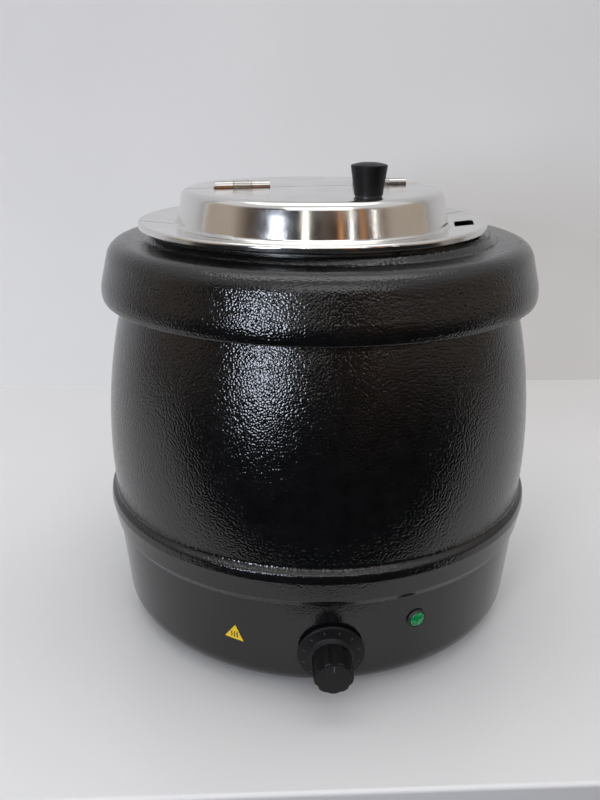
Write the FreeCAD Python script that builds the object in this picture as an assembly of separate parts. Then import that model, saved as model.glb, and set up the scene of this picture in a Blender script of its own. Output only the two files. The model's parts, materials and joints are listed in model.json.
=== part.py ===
"""Electric wet-heat soup kettle, in millimetres.

+Z is up, -Y is the front with the control knob, and the origin is on the table
under the middle of the kettle. Every function below makes one group of pieces.
"""
import FreeCAD
import Part
import math
import os
from FreeCAD import Vector, Placement, Rotation

# ---- driving dimensions -------------------------------------------------
SHEET = 1.0                 # painted steel shell
THIN = 0.8                  # stainless steel sheet
RUN_GAP = 0.05              # radial clearance of a shaft or pin in its hole

# outer barrel
BASE_Z = 7.0                # underside of the barrel's bottom flange
WALL_FOOT_R = 162.5         # lower wall, just above the rounded bottom edge
WALL_FOOT_Z = 25.0
WALL_TOP_R = 167.0          # lower wall, under the step below the bead
WALL_TOP_Z = 80.0
STEP_R = 169.7              # the step, where the bead begins
STEP_Z = 84.8
BEAD_R = 172.5              # the widest place of the kettle
BEAD_Z = 103.2
BELLY_R = 169.0             # belly of the barrel, a large arc
BELLY_Z = 145.0
BELLY_ARC_R = 420.0
BELLY_FOOT_Z = 113.5
BARREL_TOP_Z = 289.0
BOTTOM_FLANGE_R = 128.0     # inner edge of the bottom flange
TOP_FLANGE_R = 130.0        # inner edge of the top flange

# collar
LIP_R = 166.6
LIP_Z = 261.8
COLLAR_R = 167.6
COLLAR_Z = 266.0
SHOULDER_R = 161.0
SHOULDER_TOP_Z = 304.4
MOUTH_R = 121.5             # opening that the pot hangs in
MOUTH_Z = 309.2

# water well and pot
WELL_R = 122.0              # inside radius
WELL_FLOOR_Z = 67.0
WELL_FLANGE_R = 141.0
POT_R = 118.0               # inside radius
POT_FLOOR_Z = 80.0
RIM_TUBE_R = 2.3            # rolled edge of the pot
RIM_GAP = 0.3
CORNER_R = 14.0             # corners of both deep-drawn vessels

# lid
LID_TURN = 11.0             # degrees, how the lid happens to lie on the pot
LID_SHIFT = -5.6            # along X: the lid has play on the pot's rim
LID_R = 132.0
LID_LIP = 4.4               # depth of the turned-down edge
FLANGE_Z = 317.4            # top of the flange, at the rim
FLANGE_DISH = 3.6           # the flange falls by this towards the dome
DOME_FOOT_R = 103.7
DOME_TOP_R = 98.2
DOME_ROUND = 6.5
PLATEAU_Z = 339.5
SPLIT_Y = 9.0               # the split is this far behind the lid's middle
SPLIT_GAP = 1.2
SLOT_TURN = -21.7           # degrees from the lid's own +X
SLOT_R = 114.8
SLOT_SIZE = (14.0, 26.0)    # radial, tangential

# lid hinges
HINGE_MIDDLES = (-52.7, 56.3)
HINGE_LENGTH = 42.0
KNUCKLE_R = 3.8
MIDDLE_KNUCKLE_R = 4.1
PIN_R = 1.55
HINGE_Z = PLATEAU_Z + 1.0
LEAF_DEPTH = 20.0

# lid knob
LID_KNOB_AT = (21.9, -69.0)
LID_KNOB_TOP_R = 12.7
LID_KNOB_FOOT_R = 9.9
LID_KNOB_HEIGHT = 21.8
WASHER = 0.8

# control knob and thermostat
KNOB_Z = 40.5
SKIRT_R = 23.7
GRIP_R = 13.6
KNOB_LENGTH = 27.0
SHAFT_R = 3.0
SCREW_PITCH = 28.0

# lamp and label, as turns about the kettle's axis, from the front
LAMP_TURN = 21.6
LAMP_Z = 59.2
LABEL_TURN = -24.2
LABEL_Z = 46.7
LABEL_SIDE = 14.5
LABEL_TILT = -7.0           # stuck on by hand, a little askew

# feet and base
FOOT_PITCH_R = 112.0
FOOT_R = 13.0
PLATE = 1.2

# back
GLAND_Z = 43.0
CORD_R = 4.0
GLAND_REACH = 28.0

os.makedirs("parts", exist_ok=True)


# ---- helpers ------------------------------------------------------------
def save(name, *solids):
    """Write one node. Several solids in a node stay separate solids."""
    shape = solids[0] if len(solids) == 1 else Part.makeCompound(list(solids))
    shape.exportStep("parts/" + name + ".step")


def rounded_path(points):
    """Wire in the XZ plane through (r, z) or (r, z, corner radius) points."""
    at = [Vector(p[0], 0, p[1]) for p in points]
    radius = [p[2] if len(p) > 2 else 0 for p in points]
    edges = []
    start = at[0]
    for i in range(1, len(at) - 1):
        if radius[i] <= 0:
            edges.append(Part.LineSegment(start, at[i]).toShape())
            start = at[i]
            continue
        back = (at[i - 1] - at[i]).normalize()
        ahead = (at[i + 1] - at[i]).normalize()
        half = back.getAngle(ahead) / 2
        trim = radius[i] / math.tan(half)
        middle = (back + ahead).normalize()
        centre = at[i] + middle * (radius[i] / math.sin(half))
        first = at[i] + back * trim
        last = at[i] + ahead * trim
        if (first - start).Length > 1e-6:
            edges.append(Part.LineSegment(start, first).toShape())
        edges.append(Part.Arc(first, centre - middle * radius[i], last).toShape())
        start = last
    edges.append(Part.LineSegment(start, at[-1]).toShape())
    return Part.Wire(edges)


def spin(face):
    return face.revolve(Vector(0, 0, 0), Vector(0, 0, 1), 360)


def spun_sheet(path, thickness):
    """Sheet metal of revolution. Positive thickness goes to the path's left side."""
    return spin(path.makeOffset2D(thickness, join=0, fill=True, openResult=True).Faces[0])


def spun_solid(points):
    """Closed solid of revolution from an outline of rounded points."""
    path = rounded_path(points)
    closing = Part.LineSegment(path.Vertexes[-1].Point, path.Vertexes[0].Point).toShape()
    return spin(Part.Face(Part.Wire(path.Edges + [closing])))


def rod(radius, low, high, x=0.0, y=0.0):
    return Part.makeCylinder(radius, high - low, Vector(x, y, low))


def tube(outer, inner, low, high, x=0.0, y=0.0):
    return rod(outer, low, high, x, y).cut(rod(inner, low - 1, high + 1, x, y))


def hexagon(across, low, high, x=0.0, y=0.0):
    """Hexagonal prism, measured across its flats."""
    reach = across / math.sqrt(3)
    corners = [Vector(x + reach * math.cos(math.pi * k / 3), y + reach * math.sin(math.pi * k / 3), low)
               for k in range(7)]
    return Part.Face(Part.makePolygon(corners)).extrude(Vector(0, 0, high - low))


def box(low, high):
    return Part.makeBox(high[0] - low[0], high[1] - low[1], high[2] - low[2], Vector(*low))


def turned(shape, degrees):
    copy = shape.copy()
    copy.rotate(Vector(0, 0, 0), Vector(0, 0, 1), degrees)
    return copy


def polar(radius, degrees):
    return (radius * math.cos(math.radians(degrees)), radius * math.sin(math.radians(degrees)))


def wall_radius(z):
    """Outside radius of the lower wall at a height."""
    part = (z - WALL_FOOT_Z) / (WALL_TOP_Z - WALL_FOOT_Z)
    return WALL_FOOT_R + part * (WALL_TOP_R - WALL_FOOT_R)


WALL_LEAN = math.degrees(math.atan2(WALL_TOP_R - WALL_FOOT_R, WALL_TOP_Z - WALL_FOOT_Z))


def on_wall(shape, degrees, z):
    """Move a shape made along +Z from the origin so that +Z leaves the lower wall
    squarely, at a turn from the front (positive to the right) and a height.
    The shape's own +Y then points up the wall."""
    copy = shape.copy()
    tilt = Placement(Vector(0, 0, 0), Rotation(Vector(1, 0, 0), 90 + WALL_LEAN))
    out = Placement(Vector(0, -wall_radius(z), z), Rotation())
    round_axis = Placement(Vector(0, 0, 0), Rotation(Vector(0, 0, 1), degrees))
    copy.Placement = round_axis.multiply(out).multiply(tilt).multiply(shape.Placement)
    return copy


def bent_rod(points, radius, bend):
    """Round wire along straight runs joined by tangent arcs."""
    at = [Vector(*p) for p in points]
    edges = []
    start = at[0]
    for i in range(1, len(at) - 1):
        back = (at[i - 1] - at[i]).normalize()
        ahead = (at[i + 1] - at[i]).normalize()
        half = back.getAngle(ahead) / 2
        trim = bend / math.tan(half)
        middle = (back + ahead).normalize()
        centre = at[i] + middle * (bend / math.sin(half))
        edges.append(Part.LineSegment(start, at[i] + back * trim).toShape())
        edges.append(Part.Arc(at[i] + back * trim, centre - middle * bend, at[i] + ahead * trim).toShape())
        start = at[i] + ahead * trim
    edges.append(Part.LineSegment(start, at[-1]).toShape())
    path = Part.Wire(edges)
    section = Part.Wire([Part.Circle(at[0], at[1] - at[0], radius).toShape()])
    return path.makePipeShell([section], True, False, 2)


# ---- shell --------------------------------------------------------------
def belly(z):
    return BELLY_R - BELLY_ARC_R + math.sqrt(BELLY_ARC_R ** 2 - (z - BELLY_Z) ** 2)


def barrel_path():
    """Outside of the barrel, from the bottom flange to the top flange."""
    lower = rounded_path([
        (BOTTOM_FLANGE_R, BASE_Z), (wall_radius(BASE_Z), BASE_Z, 17.0), (WALL_TOP_R, WALL_TOP_Z, 1.5),
        (STEP_R, STEP_Z, 1.6), (BEAD_R - 0.2, BEAD_Z - 3, 3.0), (BEAD_R - 0.9, BEAD_Z + 3, 2.8),
        (belly(BELLY_FOOT_Z - 3) - 0.1, BELLY_FOOT_Z - 4.6, 3.4), (belly(BELLY_FOOT_Z), BELLY_FOOT_Z)])
    foot = Vector(belly(BELLY_FOOT_Z), 0, BELLY_FOOT_Z)
    top = Vector(belly(BARREL_TOP_Z), 0, BARREL_TOP_Z)
    half_way = (BELLY_FOOT_Z + BARREL_TOP_Z) / 2
    side = Part.Arc(foot, Vector(belly(half_way), 0, half_way), top).toShape()
    upper = Part.LineSegment(top, Vector(TOP_FLANGE_R, 0, BARREL_TOP_Z)).toShape()
    return Part.Wire(lower.Edges + [side, upper])


def outer_barrel():
    barrel = spun_sheet(barrel_path(), SHEET)
    holes = [on_wall(rod(5.5, -8, 8), 0, KNOB_Z),
             on_wall(rod(5.1, -8, 8), LAMP_TURN, LAMP_Z),
             on_wall(rod(8.1, -8, 8), 180, GLAND_Z)]
    for side in (-1, 1):
        holes.append(on_wall(rod(2.1, -8, 8, side * SCREW_PITCH / 2), 0, KNOB_Z))
    for k in range(4):
        holes.append(rod(2.1, BARREL_TOP_Z - 6, BARREL_TOP_Z + 6, *polar(135.0, 45 + 90 * k)))
    for k in range(6):
        holes.append(rod(1.7, BASE_Z - 2, BASE_Z + 6, *polar(134.0, 60 * k)))
    return barrel.cut(holes)


def collar_path():
    return rounded_path([
        (MOUTH_R, BARREL_TOP_Z + 1.2), (MOUTH_R, MOUTH_Z, 2.5), (MOUTH_R + 8.0, MOUTH_Z, 3.0),
        (MOUTH_R + 12.5, SHOULDER_TOP_Z + 0.4, 3.0), (SHOULDER_R - 1.5, SHOULDER_TOP_Z, 13.5),
        (COLLAR_R, COLLAR_Z + 6, 30.0), (COLLAR_R, COLLAR_Z, 2.0), (LIP_R, LIP_Z, 1.8), (LIP_R - 4.5, LIP_Z)])


def top_collar():
    return spun_sheet(collar_path(), -SHEET)


def collar_brackets():
    """Four angle brackets inside the collar's mouth, each with its thread for a screw."""
    low = BARREL_TOP_Z + 1.2
    foot = box((MOUTH_R + SHEET + 0.1, -8, low), (142.0, 8, low + 1.5))
    leg = box((MOUTH_R + SHEET + 0.1, -8, low + 1.5), (MOUTH_R + SHEET + 2.0, 8, low + 11.0))
    fit = rod(MOUTH_R + SHEET, low - 1, low + 20)
    bracket = foot.fuse(leg).cut([fit, rod(2.0, low - 1, low + 3, 135.0, 0)])
    return [turned(bracket, 45 + 90 * k) for k in range(4)]


def collar_screws():
    """Screws from below, through both flanges into the brackets."""
    head_top = BARREL_TOP_Z - SHEET
    screw = rod(2.0, head_top, head_top + 7.0).fuse(rod(3.6, head_top - 2.4, head_top))
    screw = screw.removeSplitter()
    made = []
    for k in range(4):
        x, y = polar(135.0, 45 + 90 * k)
        copy = screw.copy()
        copy.translate(Vector(x, y, 0))
        made.append(copy)
    return made


def vessel(radius, floor, top, flange, thickness):
    """Deep-drawn vessel: flat floor, rounded corner, straight wall, flange or open edge."""
    points = [(0, floor), (radius, floor, CORNER_R), (radius, top)]
    if flange:
        points[-1] = (radius, top, 2.5)
        points.append((flange, top))
    return spun_sheet(rounded_path(points), thickness)


def water_well():
    flange_z = BARREL_TOP_Z + 1.2
    well = vessel(WELL_R, WELL_FLOOR_Z, flange_z, WELL_FLANGE_R, -THIN)
    holes = [rod(2.1, flange_z - 4, flange_z + 4, *polar(135.0, 45 + 90 * k)) for k in range(4)]
    return well.cut(holes)


def base_plate():
    z = BASE_Z - PLATE
    plate = rod(141.0, z, BASE_Z)
    holes = [rod(1.7, z - 1, BASE_Z + 1, *polar(134.0, 60 * k)) for k in range(6)]
    holes += [rod(2.1, z - 1, BASE_Z + 1, *polar(FOOT_PITCH_R, 45 + 90 * k)) for k in range(4)]
    slot = box((48.0, -2.0, z - 1), (82.0, 2.0, BASE_Z + 1))
    holes += [turned(slot, 30 * k + 15) for k in range(12)]
    holes.append(rod(2.5, z - 1, BASE_Z + 1, *EARTH_AT))
    return plate.cut(holes)


def base_screws():
    z = BASE_Z - PLATE
    screw = rod(1.65, z, z + 8.0).fuse(rod(3.2, z - 2.0, z)).removeSplitter()
    made = []
    for k in range(6):
        x, y = polar(134.0, 60 * k)
        copy = screw.copy()
        copy.translate(Vector(x, y, 0))
        made.append(copy)
    return made


def foot_outline():
    z = BASE_Z - PLATE
    return [(4.6, 0), (FOOT_R - 1.5, 0, 1.2), (FOOT_R, z), (2.2, z), (2.2, 3.4), (4.6, 3.4)]


def feet():
    foot = spun_solid(foot_outline())
    screw = rod(2.0, 3.4, 14.0).fuse(rod(4.0, 1.0, 3.4)).removeSplitter()
    nut = hexagon(7.0, BASE_Z, BASE_Z + 3.2).cut(rod(2.02, BASE_Z - 1, BASE_Z + 5))
    screws = []
    nuts = []
    for k in range(4):
        x, y = polar(FOOT_PITCH_R, 225 + 90 * k)
        for shape, keep in ((foot, None), (screw, screws), (nut, nuts)):
            copy = shape.copy()
            copy.translate(Vector(x, y, 0))
            if keep is None:
                save("foot_%d" % (k + 1), copy)
            else:
                keep.append(copy)
    save("foot_screws", *screws)
    save("foot_nuts", *nuts)


# ---- heating ------------------------------------------------------------
SPREADER = 3.0
SPREADER_Z = WELL_FLOOR_Z - THIN - SPREADER      # underside of the spreader plate
ELEMENT_R = 66.0
ELEMENT_TUBE = 4.0
ELEMENT_GAP = 16.0                               # half the opening of the ring, degrees
STUD_TURNS = (60, 180, 300)


def heating_element():
    """Sheathed ring, open at the back, with both cold ends turned down."""
    z = SPREADER_Z - ELEMENT_TUBE - 0.1
    ring = Part.makeTorus(ELEMENT_R, ELEMENT_TUBE, Vector(0, 0, z), Vector(0, 0, 1), 0, 360,
                          360 - 2 * ELEMENT_GAP)
    ring = turned(ring, 90 + ELEMENT_GAP)
    pieces = []
    for side in (-1, 1):
        x, y = polar(ELEMENT_R, 90 + side * ELEMENT_GAP)
        pieces.append(Part.makeSphere(ELEMENT_TUBE, Vector(x, y, z)))
        pieces.append(rod(ELEMENT_TUBE, z - 14, z, x, y))
        pieces.append(box((x - 3.2, y - 0.4, z - 23), (x + 3.2, y + 0.4, z - 13.5)))
    return ring.fuse(pieces).removeSplitter()


def element_fixings():
    """Studs under the spreader plate, with a bar and a nut that press the ring up."""
    low = SPREADER_Z - 2 * ELEMENT_TUBE - 0.2
    stud_r = ELEMENT_R - 11
    bar = box((stud_r - 9, -6, low - 2), (ELEMENT_R + 9, 6, low))
    heel = box((stud_r - 9, -6, low), (stud_r - 6, 6, SPREADER_Z))
    clamp = bar.fuse(heel).removeSplitter().cut(rod(2.6, low - 4, low + 2, stud_r, 0))
    stud = rod(2.5, low - 9, SPREADER_Z, stud_r, 0)
    nut = hexagon(8.0, low - 6, low - 2, stud_r, 0).cut(rod(2.52, low - 9, low, stud_r, 0))
    for name, shape in (("element_clamps", clamp), ("element_studs", stud), ("element_nuts", nut)):
        save(name, *[turned(shape, a) for a in STUD_TURNS])


def thermal_cutout():
    """Disc switch on the middle of the spreader plate, with two flat terminals."""
    body = rod(9.0, SPREADER_Z - 9, SPREADER_Z).fuse(rod(12.0, SPREADER_Z - 1.5, SPREADER_Z))
    tabs = [box((side * 5 - 0.4, -3.2, SPREADER_Z - 16), (side * 5 + 0.4, 3.2, SPREADER_Z - 8.5))
            for side in (-1, 1)]
    return body.fuse(tabs).removeSplitter()


# ---- controls, made along the wall's outward normal ---------------------
THERMOSTAT_FACE = -4.2      # front of the thermostat body, inside the wall
BRACKET = 1.2


def thermostat():
    front = THERMOSTAT_FACE + BRACKET
    holes = [rod(2.05, -12, 1, side * SCREW_PITCH / 2) for side in (-1, 1)]
    body = box((-20, -17, THERMOSTAT_FACE - 24), (20, 17, THERMOSTAT_FACE))
    collar = rod(5.0, THERMOSTAT_FACE - 1, front + 2.5)
    tabs = [box((x - 3.2, -0.4 - 6, THERMOSTAT_FACE - 31), (x + 3.2, 0.4 - 6, THERMOSTAT_FACE - 23))
            for x in (-10, 10)]
    body = body.fuse([collar] + tabs).removeSplitter()
    body = body.cut(holes + [rod(SHAFT_R + RUN_GAP, THERMOSTAT_FACE - 8, 5)])
    bracket = box((-20, -13, THERMOSTAT_FACE), (20, 13, front))
    bracket = bracket.cut(holes + [rod(5.1, -12, 1)])
    save("thermostat_body", on_wall(body, 0, KNOB_Z))
    save("thermostat_bracket", on_wall(bracket, 0, KNOB_Z))
    screws = []
    for side in (-1, 1):
        x = side * SCREW_PITCH / 2
        screw = rod(2.0, -11, 0.2, x).fuse(rod(3.8, 0.2, 1.9, x)).removeSplitter()
        screws.append(on_wall(screw, 0, KNOB_Z))
    save("thermostat_screws", *screws)


def thermostat_shaft():
    """Round shaft with a flat at its free end."""
    shaft = rod(SHAFT_R, THERMOSTAT_FACE - 7.7, 19.0)
    return on_wall(shaft.cut(box((-5, SHAFT_R - 1.0, 7.0), (5, 5, 20))), 0, KNOB_Z)


def control_knob():
    """Thin skirt and a fluted grip, hollow behind the skirt."""
    skirt = spun_solid([(0, 1.2), (SKIRT_R, 1.2, 0.5), (SKIRT_R, 3.4, 1.2), (GRIP_R + 2, 5.4, 2.0),
                        (GRIP_R + 0.3, 8.0, 1.0), (GRIP_R, KNOB_LENGTH, 1.6), (0, KNOB_LENGTH)])
    flute_r = 4.4
    flutes = [rod(flute_r, 8.6, KNOB_LENGTH + 1, *polar(GRIP_R + 2.9, 90 + 40 * k)) for k in range(9)]
    recess = rod(SKIRT_R - 2.2, 0, 3.0)
    bore = rod(SHAFT_R + RUN_GAP, 2, 19.5).cut(box((-5, SHAFT_R - 1.0 + RUN_GAP, 7.2), (5, 5, 21)))
    return on_wall(skirt.cut(flutes + [recess, bore]), 0, KNOB_Z)


def lamp():
    bezel = spun_solid([(0, -1.0), (7.4, -1.0), (7.4, 1.0, 0.8), (6.2, 2.2), (5.9, 0.8), (0, 0.8)])
    barrel = tube(5.0, 3.6, -18, 0)
    outside = on_wall(bezel.fuse(barrel).cut(rod(8, -1.6, 0.1).cut(rod(5.0, -3, 1))), LAMP_TURN, LAMP_Z)
    lens = spun_solid([(0, 0.8), (5.7, 0.8), (5.7, 2.2, 1.0), (3.0, 4.2, 3.0), (0, 4.2)])
    clip = tube(7.6, 5.05, -6.0, -4.0)
    save("lamp_bezel", outside)
    save("lamp_lens", on_wall(lens, LAMP_TURN, LAMP_Z))
    save("lamp_clip", on_wall(clip, LAMP_TURN, LAMP_Z))


def caution_label():
    """Triangular sticker that follows the round wall."""
    thick = 0.3
    high = LABEL_SIDE * math.sqrt(3) / 2
    corners = [Vector(-LABEL_SIDE / 2, -high / 3, -6), Vector(LABEL_SIDE / 2, -high / 3, -6),
               Vector(0, 2 * high / 3, -6), Vector(-LABEL_SIDE / 2, -high / 3, -6)]
    wedge = turned(Part.Face(Part.makePolygon(corners)).extrude(Vector(0, 0, 12)), LABEL_TILT)
    wedge = on_wall(wedge, LABEL_TURN, LABEL_Z)
    skin = spun_solid([(WALL_FOOT_R + 0.02, WALL_FOOT_Z), (WALL_FOOT_R + thick, WALL_FOOT_Z),
                       (WALL_TOP_R + thick, WALL_TOP_Z), (WALL_TOP_R + 0.02, WALL_TOP_Z)])
    return wedge.common(skin)


# ---- thermostat's feeler ------------------------------------------------
BULB_TURN = -125.0
BULB_R = 127.0
BULB_LOW = 100.0
BULB_HIGH = 180.0


def feeler():
    x, y = polar(BULB_R, BULB_TURN)
    save("thermostat_bulb", rod(3.0, BULB_LOW, BULB_HIGH, x, y))
    save("capillary_tube", bent_rod([(x, y, BULB_LOW - 0.1), (x, y, 76.0), (-66.0, -118.0, 66.0),
                                     (-40.0, -134.0, 47.0), (-21.0, -146.0, 46.0)], 0.9, 6.0))
    saddle = tube(5.0, 3.05, 0, 6, BULB_R, 0).cut(rod(WELL_R + THIN, -1, 7))
    ears = box((WELL_R + THIN - 1, -11, 0), (WELL_R + THIN + 1.6, 11, 6))
    ears = ears.cut([rod(WELL_R + THIN, -1, 7), rod(4.5, -1, 7, BULB_R, 0)])
    band = turned(saddle.fuse(ears), BULB_TURN)
    clips = []
    for z in (BULB_LOW + 10, BULB_HIGH - 16):
        copy = band.copy()
        copy.translate(Vector(0, 0, z))
        clips.append(copy)
    save("bulb_clips", *clips)


# ---- wiring -------------------------------------------------------------
BLOCK_AT = (0.0, 112.0)
BLOCK_SIZE = (46.0, 18.0, 17.0)
EARTH_AT = (52.0, 96.0)
WIRE_R = 1.4


def terminal_block():
    """Three-way block on the base plate, with a clamping screw each side of each pole."""
    x, y = BLOCK_AT
    w, d, h = (s / 2 for s in BLOCK_SIZE)
    block = box((x - w, y - d, BASE_Z), (x + w, y + d, BASE_Z + 2 * h))
    screws = []
    for pole in (-14.0, 0.0, 14.0):
        bore = Part.makeCylinder(2.2, 2 * d + 2, Vector(x + pole, y - d - 1, BASE_Z + 7), Vector(0, 1, 0))
        block = block.cut(bore)
        for side in (-4.5, 4.5):
            block = block.cut(rod(2.0, BASE_Z + 9, BASE_Z + 2 * h + 1, x + pole, y + side))
            screws.append(rod(1.9, BASE_Z + 9.3, BASE_Z + 2 * h - 1.0, x + pole, y + side))
    save("terminal_block", block)
    save("terminal_screws", *screws)


def earth_post():
    x, y = EARTH_AT
    stud = rod(2.4, BASE_Z - PLATE, BASE_Z + 15, x, y).fuse(rod(4.0, BASE_Z, BASE_Z + 2, x, y))
    nut = hexagon(8.0, BASE_Z + 5.2, BASE_Z + 9.2, x, y).cut(rod(2.42, BASE_Z, BASE_Z + 12, x, y))
    save("earth_stud", stud.removeSplitter())
    save("earth_nut", nut)


def wires():
    x, y = BLOCK_AT
    z = BASE_Z + 7
    back = y + BLOCK_SIZE[1] / 2 + 0.2
    front = y - BLOCK_SIZE[1] / 2 - 0.2
    inlet_y = wall_radius(GLAND_Z) - 13.5
    def inlet(pole, shift):
        return bent_rod([(x + pole, back, z), (x + pole, back + 9, z),
                         (x + shift, inlet_y - 9, GLAND_Z + 1.5),
                         (x + shift, inlet_y, GLAND_Z + 1.5)], WIRE_R, 4.0)
    element = [polar(ELEMENT_R, 90 + side * ELEMENT_GAP) for side in (-1, 1)]
    tab_z = SPREADER_Z - ELEMENT_TUBE - 23.3
    to_element = bent_rod([(x + 14, front, z), (x + 14, front - 5, z),
                           (element[0][0], element[0][1], z + 11),
                           (element[0][0], element[0][1], tab_z)], WIRE_R, 3.0)
    to_thermostat = bent_rod([(x - 14, front, z), (x - 14, front - 14, z), (-30.0, 50.0, z - 1),
                              (-30.0, -60.0, z - 1), (-10.0, -112.0, 33.0), (-10.0, -124.5, 35.0)], WIRE_R, 5.0)
    to_cutout = bent_rod([(10.0, -124.5, 35.0), (10.0, -112.0, 33.0), (10.0, -60.0, 30.0),
                          (5.0, -14.0, 30.0),
                          (5.0, 0.0, 36.0), (5.0, 0.0, SPREADER_Z - 16.3)], WIRE_R, 4.0)
    back_to_element = bent_rod([(-5.0, 0.0, SPREADER_Z - 16.3), (-5.0, 0.0, 34.0), (-10.0, 30.0, 26.0),
                                (element[1][0], element[1][1] - 8, 26.0), (element[1][0], element[1][1], 30.0),
                                (element[1][0], element[1][1], tab_z)], WIRE_R, 3.0)
    earth_x, earth_y = EARTH_AT
    earth = bent_rod([(x, front, z), (x, front - 12, BASE_Z + 3.4), (earth_x - 16, earth_y - 6, BASE_Z + 3.4),
                      (earth_x - 4.6, earth_y, BASE_Z + 3.6)], WIRE_R, 3.0)
    save("live_wires", inlet(-14, -2.2), to_thermostat, to_cutout, back_to_element)
    save("neutral_wires", inlet(14, 2.2), to_element)
    save("earth_wires", bent_rod([(x, back, z), (x, back + 6, z), (x, inlet_y - 7, GLAND_Z - 2.2),
                                  (x, inlet_y, GLAND_Z - 2.2)], WIRE_R, 4.0), earth)


# ---- cord entry ---------------------------------------------------------
def cord_entry():
    """Gland through the back wall, with its locknut inside and a tapered boot outside."""
    body = rod(8.0, -13, 3).fuse(spun_solid([(0, 0.2), (12.0, 0.2), (12.0, 6.0, 1.2), (0, 6.0)]))
    body = body.removeSplitter().cut(rod(CORD_R + 1.2, -14, 7))
    sleeve = rod(CORD_R + 1.2, -12.8, 7)
    boot = spun_solid([(0, 6.0), (9.0, 6.0, 0.8), (8.6, 9.0, 1.0), (5.6, GLAND_REACH, 0.8), (0, GLAND_REACH)])
    boot = boot.fuse(sleeve).removeSplitter().cut(rod(CORD_R, -14, GLAND_REACH + 1))
    for k in range(4):
        groove = tube(12.0, 4.9 + (3 - k) * 0.75, 11.0 + 4.0 * k, 12.6 + 4.0 * k)
        boot = boot.cut(groove)
    nut = hexagon(21.0, -7.2, -3.2).cut(rod(8.05, -9, 0))
    save("cable_gland", on_wall(body, 180, GLAND_Z))
    save("strain_relief", on_wall(boot, 180, GLAND_Z))
    save("gland_locknut", on_wall(nut, 180, GLAND_Z))


# ---- pot and lid --------------------------------------------------------
RIM_Z = MOUTH_Z + RIM_GAP + RIM_TUBE_R          # middle of the pot's rolled edge


def soup_pot():
    """Pot whose edge is rolled outwards into a bead that hangs on the collar."""
    wall = vessel(POT_R, POT_FLOOR_Z, RIM_Z, None, -THIN)
    bead = Part.makeTorus(POT_R + RIM_TUBE_R + 0.4, RIM_TUBE_R, Vector(0, 0, RIM_Z))
    return wall.fuse(bead).removeSplitter()


def in_lid_place(shape):
    copy = turned(shape, LID_TURN)
    copy.translate(Vector(LID_SHIFT, 0, 0))
    return copy


def lid_path():
    """Top of the lid, from its middle to the turned-down edge."""
    return rounded_path([(0, PLATEAU_Z), (DOME_TOP_R, PLATEAU_Z, DOME_ROUND),
                         (DOME_FOOT_R, FLANGE_Z - FLANGE_DISH, 2.6),
                         (LID_R, FLANGE_Z, 1.9), (LID_R, FLANGE_Z - LID_LIP)])


def lid_halves():
    disc = spun_sheet(lid_path(), -THIN)
    reach = LID_R + 5
    low = FLANGE_Z - 10
    high = PLATEAU_Z + 10
    rear_side = box((-reach, SPLIT_Y + SPLIT_GAP / 2, low), (reach, reach, high))
    front_side = box((-reach, -reach, low), (reach, SPLIT_Y - SPLIT_GAP / 2, high))
    windows = []
    for mid in HINGE_MIDDLES:
        half = HINGE_LENGTH / 2 + 0.6
        windows.append(box((mid - half, SPLIT_Y - MIDDLE_KNUCKLE_R - 0.5, PLATEAU_Z - 4),
                           (mid + half, SPLIT_Y + MIDDLE_KNUCKLE_R + 0.5, PLATEAU_Z + 2)))
    across, along = SLOT_SIZE[0] / 2, SLOT_SIZE[1] / 2
    slot = box((SLOT_R - across, -along, low), (SLOT_R + across, along, high))
    upright = [e for e in slot.Edges if abs(e.Vertexes[0].Point.z - e.Vertexes[-1].Point.z) > 1]
    slot = turned(slot.makeFillet(2.0, upright), SLOT_TURN)
    knob_hole = rod(2.6, low, high, *LID_KNOB_AT)
    save("lid_rear", in_lid_place(disc.common(rear_side).cut(windows)))
    save("lid_front", in_lid_place(disc.common(front_side).cut(windows + [slot, knob_hole])))


def along_x(radius, low, high):
    return Part.makeCylinder(radius, high - low, Vector(low, SPLIT_Y, HINGE_Z), Vector(1, 0, 0))


def hinges():
    """Each hinge has two outer knuckles on its rear leaf and a middle one on its front leaf."""
    leaf_top = PLATEAU_Z - THIN
    third = HINGE_LENGTH / 3
    gap = 0.25
    rear = []
    front = []
    pins = []
    for mid in HINGE_MIDDLES:
        bore = along_x(PIN_R + RUN_GAP, mid - 40, mid + 40)
        for keep, direction in ((rear, 1), (front, -1)):
            near = SPLIT_Y + direction * 1.0
            far = SPLIT_Y + direction * LEAF_DEPTH
            window_edge = SPLIT_Y + direction * (MIDDLE_KNUCKLE_R + 0.5)
            spans = [(-1.5 * third, -0.5 * third - gap), (0.5 * third + gap, 1.5 * third)]
            if direction < 0:
                spans = [(-0.5 * third + gap, 0.5 * third - gap)]
            half = HINGE_LENGTH / 2
            leaf = box((mid - half, min(window_edge, far), leaf_top - THIN),
                       (mid + half, max(window_edge, far), leaf_top))
            for a, b in spans:
                tongue = box((mid + a, min(near, window_edge), leaf_top - THIN),
                             (mid + b, max(near, window_edge), leaf_top))
                radius = KNUCKLE_R if direction > 0 else MIDDLE_KNUCKLE_R
                knuckle = along_x(radius, mid + a, mid + b)
                leaf = leaf.fuse([tongue, knuckle])
            keep.append(in_lid_place(leaf.cut(bore).removeSplitter()))
        pin = along_x(PIN_R, mid - HINGE_LENGTH / 2 - 0.4, mid + HINGE_LENGTH / 2 + 0.4)
        pins.append(in_lid_place(pin))
    save("rear_hinge_leaves", *rear)
    save("front_hinge_leaves", *front)
    save("hinge_pins", *pins)


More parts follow.
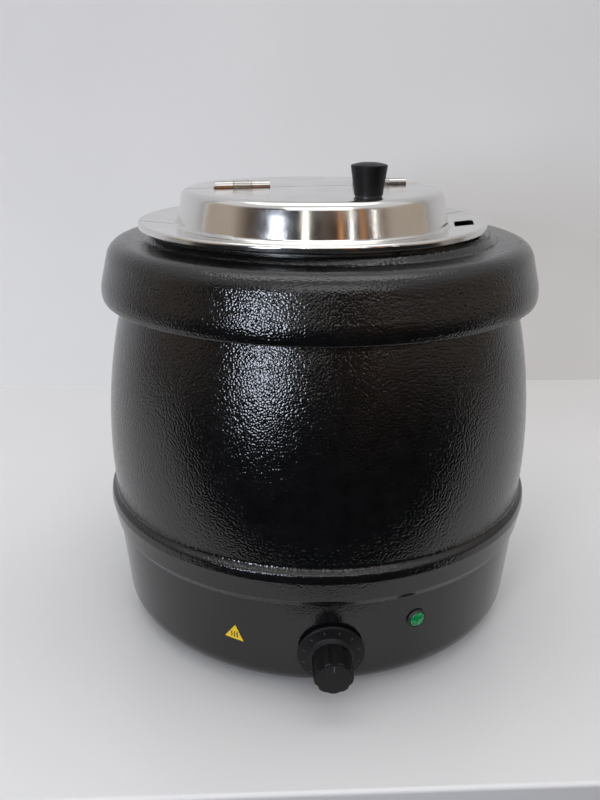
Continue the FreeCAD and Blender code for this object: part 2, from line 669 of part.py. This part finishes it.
def lid_knob():
    x, y = LID_KNOB_AT
    foot = PLATEAU_Z + WASHER
    knob = spun_solid([(0, foot), (LID_KNOB_FOOT_R, foot, 0.6), (LID_KNOB_FOOT_R + 0.3, foot + 3.0),
                       (LID_KNOB_TOP_R, foot + LID_KNOB_HEIGHT - 1.6, 1.0),
                       (LID_KNOB_TOP_R * 0.5, foot + LID_KNOB_HEIGHT, 20.0), (0, foot + LID_KNOB_HEIGHT)])
    knob.translate(Vector(x, y, 0))
    knob = knob.cut(rod(2.5, foot - 1, foot + 14, x, y))
    washer = tube(LID_KNOB_FOOT_R - 0.6, 2.6, PLATEAU_Z, foot, x, y)
    screw = rod(2.45, PLATEAU_Z - THIN, foot + 12, x, y)
    screw = screw.fuse(rod(4.6, PLATEAU_Z - THIN - 2.6, PLATEAU_Z - THIN, x, y)).removeSplitter()
    save("lid_knob", in_lid_place(knob))
    save("lid_knob_washer", in_lid_place(washer))
    save("lid_knob_screw", in_lid_place(screw))


# ---- build --------------------------------------------------------------
save("outer_barrel", outer_barrel())
save("top_collar", top_collar())
save("collar_brackets", *collar_brackets())
save("collar_screws", *collar_screws())
save("water_well", water_well())
save("base_plate", base_plate())
save("base_screws", *base_screws())
feet()
save("spreader_plate", rod(86.0, SPREADER_Z, SPREADER_Z + SPREADER))
save("heating_element", heating_element())
element_fixings()
save("thermal_cutout", thermal_cutout())
thermostat()
save("thermostat_shaft", thermostat_shaft())
save("control_knob", control_knob())
lamp()
save("caution_label", caution_label())
feeler()
terminal_block()
earth_post()
wires()
cord_entry()
save("soup_pot", soup_pot())
lid_halves()
hinges()
lid_knob()
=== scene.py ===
"""Looks of the electric soup kettle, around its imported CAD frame. Metres, +Z up, -Y is the front."""
import json
import math

import bpy
from mathutils import Matrix, Vector


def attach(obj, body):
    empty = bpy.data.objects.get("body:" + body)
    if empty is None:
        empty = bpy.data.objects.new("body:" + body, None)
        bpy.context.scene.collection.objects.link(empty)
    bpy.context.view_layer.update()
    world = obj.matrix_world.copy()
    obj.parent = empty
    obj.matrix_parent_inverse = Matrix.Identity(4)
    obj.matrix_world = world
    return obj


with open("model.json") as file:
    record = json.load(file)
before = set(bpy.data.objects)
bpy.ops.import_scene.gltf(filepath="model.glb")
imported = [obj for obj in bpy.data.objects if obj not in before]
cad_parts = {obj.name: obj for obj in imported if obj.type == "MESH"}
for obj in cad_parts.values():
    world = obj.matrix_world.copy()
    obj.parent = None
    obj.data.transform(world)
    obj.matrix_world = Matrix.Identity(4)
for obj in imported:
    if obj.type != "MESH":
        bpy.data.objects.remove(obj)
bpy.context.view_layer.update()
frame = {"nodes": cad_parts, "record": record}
nodes = frame["nodes"]
MM = 0.001


# ---- camera -------------------------------------------------------------
CAMERA_DISTANCE = 0.6266      # from the kettle's axis
CAMERA_HEIGHT = 0.4008
CAMERA_TURN = -4.0            # degrees round the kettle, towards its left side
CAMERA_PITCH = 20.49
CAMERA_YAW = -1.33            # degrees, away from the kettle's axis
CAMERA_ROLL = 0.2
LENS = 36.0                   # with a 36 mm sensor along the picture's long side


def add_camera():
    data = bpy.data.cameras.new("camera")
    data.lens = LENS
    data.sensor_width = 36.0
    data.clip_start = 0.01
    camera = bpy.data.objects.new("camera", data)
    bpy.context.scene.collection.objects.link(camera)
    turn = math.radians(CAMERA_TURN)
    heading = math.radians(CAMERA_YAW - CAMERA_TURN)
    pitch = math.radians(CAMERA_PITCH)
    roll = math.radians(CAMERA_ROLL)
    level = math.cos(pitch)
    ahead = Vector((math.sin(heading) * level, math.cos(heading) * level, -math.sin(pitch)))
    right = ahead.cross(Vector((0, 0, 1))).normalized()
    up = right.cross(ahead)
    side = right * math.cos(roll) + up * math.sin(roll)
    top = up * math.cos(roll) - right * math.sin(roll)
    matrix = Matrix((side, top, -ahead)).transposed().to_4x4()
    x, y = CAMERA_DISTANCE * math.sin(turn), -CAMERA_DISTANCE * math.cos(turn)
    matrix.translation = Vector((x, y, CAMERA_HEIGHT))
    camera.matrix_world = matrix
    bpy.context.scene.camera = camera


add_camera()


# ---- node-tree helper ---------------------------------------------------
class Finish:
    """A material and short ways to add and join its nodes."""

    def __init__(self, name, **values):
        self.material = bpy.data.materials.new(name)
        self.material.use_nodes = True
        self.tree = self.material.node_tree
        self.shader = self.tree.nodes["Principled BSDF"]
        self.set(self.shader, values)
        coords = self.node("ShaderNodeTexCoord")
        self.place = coords.outputs["Object"]

    def set(self, node, values):
        for key, value in values.items():
            name = key.replace("_", " ")
            for socket in node.inputs:
                if socket.name.lower() == name.lower():
                    socket.default_value = value
                    break
            else:
                raise KeyError(name)

    def node(self, kind, settings=None, **values):
        made = self.tree.nodes.new(kind)
        for key, value in (settings or {}).items():
            setattr(made, key, value)
        self.set(made, values)
        return made

    def link(self, out, node, socket):
        self.tree.links.new(out, node.inputs[socket])

    def noise(self, scale, detail=2.0, roughness=0.5, stretch=None):
        """Noise value at a scale in cells per metre."""
        source = self.place
        if stretch:
            mapping = self.node("ShaderNodeMapping", Scale=stretch)
            self.link(source, mapping, "Vector")
            source = mapping.outputs["Vector"]
        made = self.node("ShaderNodeTexNoise", Scale=scale, Detail=detail, Roughness=roughness)
        self.link(source, made, "Vector")
        return made.outputs["Fac"]

    def cells(self, scale, feature="F1", smooth=None):
        made = self.node("ShaderNodeTexVoronoi", {"feature": feature}, Scale=scale)
        if smooth is not None:
            made.inputs["Smoothness"].default_value = smooth
        self.link(self.place, made, "Vector")
        return made.outputs["Distance"]

    def ramp(self, value, stops):
        made = self.node("ShaderNodeValToRGB")
        while len(made.color_ramp.elements) < len(stops):
            made.color_ramp.elements.new(0.5)
        for element, (position, colour) in zip(made.color_ramp.elements, stops):
            element.position = position
            element.color = (*colour, 1.0) if len(colour) == 3 else colour
        self.link(value, made, "Fac")
        return made.outputs["Color"]

    def grey(self, value, low, high, start=0.3, end=0.7):
        """A number that runs from low to high as value runs from start to end."""
        made = self.node("ShaderNodeMapRange")
        made.inputs["From Min"].default_value = start
        made.inputs["From Max"].default_value = end
        made.inputs["To Min"].default_value = low
        made.inputs["To Max"].default_value = high
        self.link(value, made, "Value")
        return made.outputs["Result"]

    def add(self, a, b, operation="ADD"):
        made = self.node("ShaderNodeMath", {"operation": operation})
        for k, value in enumerate((a, b)):
            if isinstance(value, (int, float)):
                made.inputs[k].default_value = value
            else:
                self.tree.links.new(value, made.inputs[k])
        return made.outputs["Value"]

    def bump(self, height, distance, strength=1.0, under=None):
        made = self.node("ShaderNodeBump", Strength=strength, Distance=distance)
        self.link(height, made, "Height")
        if under is not None:
            self.link(under, made, "Normal")
        return made.outputs["Normal"]

    def wear(self, name, socket):
        self.link(socket, self.shader, name)


# ---- materials ----------------------------------------------------------
def powder_coat():
    """Black pebbled gloss powder coat, which ran smoother below the bead."""
    f = Finish("powder_coat", Roughness=0.14, Specular_IOR_Level=0.55)
    tone = f.noise(90, 3)
    f.wear("Base Color", f.ramp(tone, [(0.3, (0.0035, 0.0035, 0.0038)), (0.7, (0.0065, 0.0065, 0.007))]))
    f.wear("Roughness", f.grey(f.noise(260, 2), 0.11, 0.17))
    pebbles = f.cells(640, "SMOOTH_F1", 0.25)
    domes = f.add(1.0, f.add(pebbles, pebbles, "MULTIPLY"), "SUBTRACT")
    swells = f.noise(700, 1, 0.5)
    height = f.add(domes, f.add(swells, 0.35, "MULTIPLY"))
    split = f.node("ShaderNodeSeparateXYZ")
    f.link(f.place, split, "Vector")
    depth = f.grey(split.outputs["Z"], 0.30, 1.0, 0.094, 0.102)
    f.wear("Normal", f.bump(f.add(height, depth, "MULTIPLY"), 0.0005, 0.46))
    return f.material


def polished_steel():
    """Lid: spun and polished stainless steel, with fine rings and faint smudges."""
    f = Finish("polished_steel", Metallic=1.0)
    f.wear("Base Color", f.ramp(f.noise(24, 3), [(0.3, (0.70, 0.69, 0.67)), (0.7, (0.79, 0.78, 0.76))]))
    smudges = f.noise(35, 4, 0.6)
    f.wear("Roughness", f.grey(smudges, 0.11, 0.2, 0.35, 0.7))
    rings = f.noise(900, 2, 0.6, stretch=(1.0, 0.03, 1.0))
    waves = f.noise(28, 1.0)
    fine = f.bump(rings, 0.00001, 0.6)
    f.wear("Normal", f.bump(waves, 0.0006, 0.35, fine))
    return f.material


def steel(name, low, high, base, tint=0.06, scale=60, dents=0.00004):
    """Sheet or turned steel with a soft mottle and fine scratches."""
    f = Finish(name, Metallic=1.0)
    dark = tuple(c * (1 - tint) for c in base)
    f.wear("Base Color", f.ramp(f.noise(scale, 4), [(0.3, dark), (0.7, base)]))
    scratches = f.noise(1400, 2, 0.6, stretch=(0.05, 1.0, 1.0))
    f.wear("Roughness", f.grey(f.noise(scale * 2, 3), low, high))
    f.wear("Normal", f.bump(scratches, dents, 0.5))
    return f.material


def plastic(name, colour, rough=0.4, grain=900, depth=0.00005, lighter=1.5, specular=0.5):
    """Moulded plastic or rubber with a fine grain."""
    f = Finish(name, Roughness=rough, Specular_IOR_Level=specular)
    bright = tuple(min(1.0, c * lighter) for c in colour)
    f.wear("Base Color", f.ramp(f.noise(70, 3), [(0.3, colour), (0.75, bright)]))
    f.wear("Roughness", f.grey(f.noise(140, 3), rough * 0.85, min(1.0, rough * 1.2)))
    f.wear("Normal", f.bump(f.noise(grain, 2), depth, 0.6))
    return f.material


def green_lens():
    """Clear green lens with a faceted inside; its green is painted darker and brighter across each facet, a
    painted glint and shade of the facets.
    """
    f = Finish("green_lens", Roughness=0.06, IOR=1.49, Transmission_Weight=0.35)
    facets = f.cells(420)
    # painted facet glints and shade: the green runs from mid to dark to bright across each facet
    f.wear("Base Color", f.ramp(facets, [(0.15, (0.0, 0.42, 0.10)), (0.45, (0.0, 0.16, 0.04)),
                                         (0.7, (0.01, 0.55, 0.16))]))
    f.wear("Normal", f.bump(facets, 0.0004, 0.7))
    return f.material


MATERIALS = {
    "powder_coat": powder_coat(),
    "polished_steel": polished_steel(),
    "drawn_steel": steel("drawn_steel", 0.26, 0.31, (0.76, 0.75, 0.73), 0.03, 40, 0.00001),
    "spring_steel": steel("spring_steel", 0.2, 0.3, (0.40, 0.39, 0.37)),
    "zinc": steel("zinc", 0.28, 0.45, (0.60, 0.61, 0.63), 0.15, 200),
    "aluminium": steel("aluminium", 0.35, 0.5, (0.78, 0.78, 0.79), 0.08, 120),
    "brass": steel("brass", 0.25, 0.4, (0.72, 0.55, 0.25), 0.15, 150),
    "element_sheath": steel("element_sheath", 0.45, 0.65, (0.24, 0.22, 0.20), 0.3, 180),
    "copper": steel("copper", 0.25, 0.4, (0.75, 0.42, 0.28), 0.15, 150),
    "bakelite": plastic("bakelite", (0.006, 0.006, 0.0065), 0.42, specular=0.25),
    "black_nylon": plastic("black_nylon", (0.016, 0.016, 0.017), 0.45),
    "white_plastic": plastic("white_plastic", (0.72, 0.71, 0.67), 0.45, lighter=1.08),
    "rubber": plastic("rubber", (0.018, 0.018, 0.018), 0.75, 500, 0.0001),
    "green_lens": green_lens(),
    "yellow_label": plastic("yellow_label", (0.86, 0.58, 0.01), 0.3, 400, 0.00002, 1.06),
    "wire_brown": plastic("wire_brown", (0.16, 0.06, 0.025), 0.4),
    "wire_blue": plastic("wire_blue", (0.02, 0.08, 0.38), 0.4),
    "wire_green": plastic("wire_green", (0.13, 0.40, 0.04), 0.4),
    "hinge_steel": steel("hinge_steel", 0.12, 0.2, (0.52, 0.51, 0.50), 0.1, 150),
    "foil": steel("foil", 0.3, 0.4, (0.72, 0.72, 0.73), 0.06, 90),
    # ink: print on the label and on the plate's frame, and also the dark of the painted recess shade on the
    # screw heads
    "ink": plastic("ink", (0.012, 0.012, 0.012), 0.5),
    "print_grey": plastic("print_grey", (0.07, 0.07, 0.07), 0.5, lighter=1.4),
}


def finish_nodes():
    for part in frame["record"]["subparts"]:
        node = nodes[part["node"]]
        node.data.materials.clear()
        slot = "hinge_steel" if part["node"] == "rear_hinge_leaves" else part["material_slot"]
        node.data.materials.append(MATERIALS[slot])


finish_nodes()


# ---- small pieces -------------------------------------------------------
LEAN = math.atan2(4.5, 55)    # how far the lower wall leans outwards
WALL_FOOT_R = 162.5           # the lower wall's outside radius at its foot
WALL_FOOT_Z = 25
KNOB_Z = 40.5
TICK_R = 19.6
TICK_SPAN = (4.3, 4.62)       # out from the wall, along the control knob's axis
POINTER_SPAN = (26.9, 27.06)
LABEL_TURN = -24.2
LABEL_Z = 46.7
LABEL_TILT = math.radians(-7)
LABEL_THICK = 0.3
BASE_SCREW_CIRCLE = 134.0
FOOT_SCREW_CIRCLE = 112.0
PLATE_TURN = 150
PLATE_Z = 50.0
PLATE_WIDTH = 46.0
PLATE_HEIGHT = 26.0
PLATE_FACE = 0.25             # out from the wall


def wall_radius(z):
    """Outside radius of the kettle's lower wall, in mm."""
    return WALL_FOOT_R + (z - WALL_FOOT_Z) * math.tan(LEAN)


def wall_spot(turn, z, tilt=0.0):
    """Places (u, v, w) in mm on the lower wall: u to the right, v up the wall, w outwards."""
    def place(u, v, w):
        across = u * math.cos(tilt) - v * math.sin(tilt)
        up = u * math.sin(tilt) + v * math.cos(tilt)
        height = z + up * math.cos(LEAN)
        radius = wall_radius(height) + w / math.cos(LEAN)
        angle = math.radians(turn) + across / radius
        return Vector((radius * math.sin(angle), -radius * math.cos(angle), height)) * MM
    return place


def dial_spot():
    """The same on the control knob's axis: w runs outwards from the wall."""
    radius = wall_radius(KNOB_Z)

    def place(u, v, w):
        y = -radius - v * math.sin(LEAN) - w * math.cos(LEAN)
        return Vector((u, y, KNOB_Z + v * math.cos(LEAN) - w * math.sin(LEAN))) * MM
    return place


def under_spot(x, y, z):
    """The same on a face that looks down."""
    def place(u, v, w):
        return Vector((x + u, y + v, z - w)) * MM
    return place


def flakes(name, body, material, outlines, place, low, high):
    """Thin solid flakes with the given (u, v) outlines, which must not be concave."""
    corners = []
    faces = []
    for outline in outlines:
        n = len(outline)
        start = len(corners)
        corners += [place(u, v, w) for w in (low, high) for u, v in outline]
        faces.append([start + k for k in reversed(range(n))])
        faces.append([start + n + k for k in range(n)])
        for k in range(n):
            after = (k + 1) % n
            faces.append([start + k, start + after, start + n + after, start + n + k])
    mesh = bpy.data.meshes.new(name)
    mesh.from_pydata(corners, [], faces)
    mesh.materials.append(MATERIALS[material])
    made = bpy.data.objects.new(name, mesh)
    bpy.context.scene.collection.objects.link(made)
    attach(made, body)
    return made


def bar(x, y, length, width, turn=0.0):
    """Outline of a bar centred on (x, y)."""
    c, s = math.cos(turn), math.sin(turn)
    corners = [(-length / 2, -width / 2), (length / 2, -width / 2), (length / 2, width / 2),
               (-length / 2, width / 2)]
    return [(x + a * c - b * s, y + a * s + b * c) for a, b in corners]


def disc(x, y, radius, count=20):
    turns = [2 * math.pi * k / count for k in range(count)]
    return [(x + radius * math.cos(t), y + radius * math.sin(t)) for t in turns]


def heat_strokes():
    """Three wavy strokes, the plain sign for a hot surface."""
    outlines = []
    for middle in (-2.1, 0.0, 2.1):
        for k in range(8):
            ends = []
            for step in (k, k + 1):
                v = -2.6 + step * 0.65
                u = middle + 0.42 * math.sin(2 * math.pi * step / 8) + 0.07 * (step - 4)
                half = 0.42 if 1 <= step <= 7 else 0.25
                ends.append((u - half, u + half, v))
            (a, b, low), (c, d, high) = ends
            outlines.append([(a, low), (b, low), (d, high), (c, high)])
    spot = wall_spot(LABEL_TURN, LABEL_Z, LABEL_TILT)
    piece = flakes("heat_strokes", "kettle", "ink", outlines, spot, LABEL_THICK + 0.01, LABEL_THICK + 0.06)


def dial_marks():
    """Faint raised ticks round the skirt and a pointer line on the grip's end."""
    skirt = [bar(TICK_R * math.sin(t), TICK_R * math.cos(t), 2.2, 0.5, math.pi / 2 - t)
             for t in (math.radians(-135 + 30 * k) for k in range(10))]
    for k, outline in enumerate(skirt):
        piece = flakes("dial_tick_%d" % (k + 1), "dial", "print_grey", [outline], dial_spot(),
                       *TICK_SPAN)
    line = flakes("dial_pointer", "dial", "print_grey", [bar(0, 8.6, 0.8, 5.0)], dial_spot(),
                  *POINTER_SPAN)


def recess_shade_crosses():
    """Painted shade for the cross recesses: thin dark crosses laid on the screw heads underneath."""
    spots = []
    for k in range(6):
        turn = math.radians(60 * k)
        spots.append(("base_screw_recess_shade_%d" % (k + 1), BASE_SCREW_CIRCLE, turn, 3.8, 3.6))
    for k in range(4):
        turn = math.radians(225 + 90 * k)
        spots.append(("foot_screw_recess_shade_%d" % (k + 1), FOOT_SCREW_CIRCLE, turn, 1.0, 4.4))
    for name, radius, turn, z, length in spots:
        spot = under_spot(radius * math.cos(turn), radius * math.sin(turn), z)
        # each dark cross is painted shade, standing in for the shade inside a screw's recess
        cross = [bar(0, 0, length, 0.9, turn), bar(0, 0, 0.9, length, turn)]
        flakes(name, "kettle", "ink", cross, spot, -0.02, 0.03)


def blank_plate():
    """Silver rating plate on the back, left blank, with a thin printed frame."""
    spot = wall_spot(PLATE_TURN, PLATE_Z)
    columns = 12
    width, height = PLATE_WIDTH, PLATE_HEIGHT
    strips = [bar(-width / 2 + (k + 0.5) * width / columns, 0, width / columns, height)
              for k in range(columns)]
    flakes("rating_plate", "kettle", "foil", strips, spot, 0.02, PLATE_FACE)
    edges = []
    for k in range(columns - 1):
        x = -width / 2 + (k + 1) * width / columns
        edges += [bar(x, side * (height / 2 - 1.6), width / columns, 0.4) for side in (-1, 1)]
    edges += [bar(side * (width / 2 - 1.8), 0, 0.4, height - 3.0) for side in (-1, 1)]
    flakes("rating_plate_frame", "kettle", "ink", edges, spot, PLATE_FACE, 0.3)


def plate_rivets():
    """Zinc rivets at the two ends of the rating plate."""
    spot = wall_spot(PLATE_TURN, PLATE_Z)
    heads = [disc(side * 19.4, 0, 1.5) for side in (-1, 1)]
    flakes("rating_plate_rivets", "kettle", "zinc", heads, spot, PLATE_FACE, 0.75)


heat_strokes()
dial_marks()
recess_shade_crosses()
blank_plate()
plate_rivets()


# ---- stage and light ----------------------------------------------------
TABLE_BACK = 0.52            # the table's back edge, where the wall stands
TABLE_FRONT = -0.245         # its rounded front edge
TABLE_EDGE_R = 0.003
TABLE_FACE_FOOT = -0.035     # how far down its front face reaches
WALL_HEIGHT = 1.6
STAGE_WIDTH = 4.0


def stage_strip(name, profile, colour, rough):
    """A smooth strip through (y, z) points, as wide as the stage and clear when seen from its back."""
    half = STAGE_WIDTH / 2
    corners = [(side * half, y, z) for y, z in profile for side in (-1, 1)]
    faces = [(2 * k, 2 * k + 1, 2 * k + 3, 2 * k + 2) for k in range(len(profile) - 1)]
    mesh = bpy.data.meshes.new(name)
    mesh.from_pydata(corners, [], faces)
    made = bpy.data.objects.new(name, mesh)
    bpy.context.scene.collection.objects.link(made)
    f = Finish(name, Roughness=rough)
    f.wear("Base Color", f.ramp(f.noise(3, 3), [(0.35, tuple(c * 0.96 for c in colour)), (0.7, colour)]))
    f.wear("Normal", f.bump(f.noise(60, 2), 0.0002, 0.15))
    clear = f.node("ShaderNodeBsdfTransparent")
    mix = f.node("ShaderNodeMixShader")
    f.link(f.node("ShaderNodeNewGeometry").outputs["Backfacing"], mix, 0)
    f.link(f.shader.outputs["BSDF"], mix, 1)
    f.link(clear.outputs["BSDF"], mix, 2)
    f.link(mix.outputs["Shader"], f.tree.nodes["Material Output"], "Surface")
    mesh.materials.append(f.material)


def stage():
    edge = [(TABLE_FRONT - TABLE_EDGE_R, TABLE_FACE_FOOT)]
    for k in range(9):
        turn = math.radians(90 * (8 - k) / 8)
        edge.append((TABLE_FRONT - TABLE_EDGE_R * math.sin(turn), TABLE_EDGE_R * (math.cos(turn) - 1)))
    edge.append((TABLE_BACK, 0))
    stage_strip("table", edge, (0.76, 0.76, 0.76), 0.28)
    stage_strip("wall", [(TABLE_BACK, -0.02), (TABLE_BACK, WALL_HEIGHT)], (0.90, 0.90, 0.90), 0.7)


def room_place(turn, distance, height):
    """A place in the room, at a turn in degrees from the direction of the front."""
    turn = math.radians(turn)
    return (distance * math.sin(turn), -distance * math.cos(turn), height)


def area_light(name, at, towards, size, power, colour=(1, 1, 1)):
    data = bpy.data.lights.new(name, "AREA")
    data.shape = "RECTANGLE"
    data.size, data.size_y = size
    data.energy = power
    data.color = colour
    light = bpy.data.objects.new(name, data)
    bpy.context.scene.collection.objects.link(light)
    light.location = at
    light.rotation_euler = (Vector(towards) - Vector(at)).to_track_quat("-Z", "Y").to_euler()


DARK = (0.012, 0.010, 0.009)
BROWN = (0.10, 0.07, 0.05)
BEIGE = (0.44, 0.37, 0.31)
ORANGE = (0.80, 0.36, 0.14)
WHITE = (0.85, 0.86, 0.88)
ROOM = [  # turn from the front in degrees, colour of the room there at eye level
    (-180, WHITE), (-112, WHITE), (-100, BEIGE), (-74, BEIGE), (-58, BROWN), (-42, DARK),
    (-12, DARK), (0, DARK), (8, BROWN), (18, DARK), (19, ORANGE), (21, ORANGE), (22, BROWN),
    (31, DARK), (37, DARK), (38, ORANGE), (40, ORANGE), (41, DARK), (52, BROWN), (66, BEIGE),
    (104, BEIGE), (116, WHITE), (180, WHITE)]


def room():
    """Dark and warm in front, a white ceiling above, nothing much below the table's edge."""
    world = bpy.data.worlds.new("room")
    bpy.context.scene.world = world
    world.use_nodes = True
    tree = world.node_tree

    def maths(operation, a, b):
        made = tree.nodes.new("ShaderNodeMath")
        made.operation = operation
        for k, value in enumerate((a, b)):
            if isinstance(value, (int, float)):
                made.inputs[k].default_value = value
            else:
                tree.links.new(value, made.inputs[k])
        return made.outputs["Value"]

    def blend(share, first, second):
        made = tree.nodes.new("ShaderNodeMix")
        made.data_type = "RGBA"
        tree.links.new(share, made.inputs["Factor"])
        for name, value in (("A", first), ("B", second)):
            socket = [s for s in made.inputs if s.name == name and s.type == "RGBA"][0]
            if isinstance(value, tuple):
                socket.default_value = (*value, 1.0)
            else:
                tree.links.new(value, socket)
        return [s for s in made.outputs if s.type == "RGBA"][0]

    coords = tree.nodes.new("ShaderNodeTexCoord")
    split = tree.nodes.new("ShaderNodeSeparateXYZ")
    tree.links.new(coords.outputs["Generated"], split.inputs["Vector"])
    x, y, z = (split.outputs[k] for k in "XYZ")
    turn = maths("ARCTAN2", x, maths("MULTIPLY", y, -1.0))
    share = maths("ADD", maths("DIVIDE", turn, 2 * math.pi), 0.5)
    around = tree.nodes.new("ShaderNodeValToRGB")
    tree.links.new(share, around.inputs["Fac"])
    stops = around.color_ramp.elements
    while len(stops) < len(ROOM):
        stops.new(1.0)
    for stop, (degrees, colour) in zip(stops, ROOM):
        stop.position = degrees / 360 + 0.5
        stop.color = (*colour, 1.0)
    above = maths("MINIMUM", maths("MAXIMUM", maths("MULTIPLY", maths("SUBTRACT", z, 0.42), 5.0), 0.0), 1.0)
    below = maths("MINIMUM", maths("MAXIMUM", maths("MULTIPLY", z, -14.0), 0.0), 1.0)
    colour = blend(above, around.outputs["Color"], (0.70, 0.70, 0.71))
    colour = blend(below, colour, (0.010, 0.010, 0.011))
    background = tree.nodes["Background"]
    tree.links.new(colour, background.inputs["Color"])
    background.inputs["Strength"].default_value = 1.0


def lights():
    middle = (0, 0, 0.25)
    area_light("tubes_front", (0.1, -2.3, 2.2), (0, 0.3, 0.4), (2.8, 1.4), 19, (0.98, 0.98, 1.0))
    area_light("tubes_back", (0.0, 0.15, 2.3), (0.0, 0.3, 0.2), (2.2, 1.0), 14, (1.0, 0.99, 0.97))
    area_light("window", room_place(-31, 1.7, 0.48), middle, (0.34, 0.42), 10.0, (0.78, 0.85, 1.0))
    area_light("doorway", room_place(-9, 1.9, 0.80), middle, (0.13, 0.5), 0.7, (1.0, 0.95, 0.86))
    area_light("lamp_1", room_place(28, 1.9, 0.85), middle, (0.04, 0.55), 0.45, (1.0, 0.98, 0.95))
    area_light("lamp_2", room_place(48, 1.9, 0.85), middle, (0.04, 0.55), 0.45, (1.0, 0.98, 0.95))


stage()
room()
lights()
bpy.context.scene.view_settings.view_transform = "Standard"
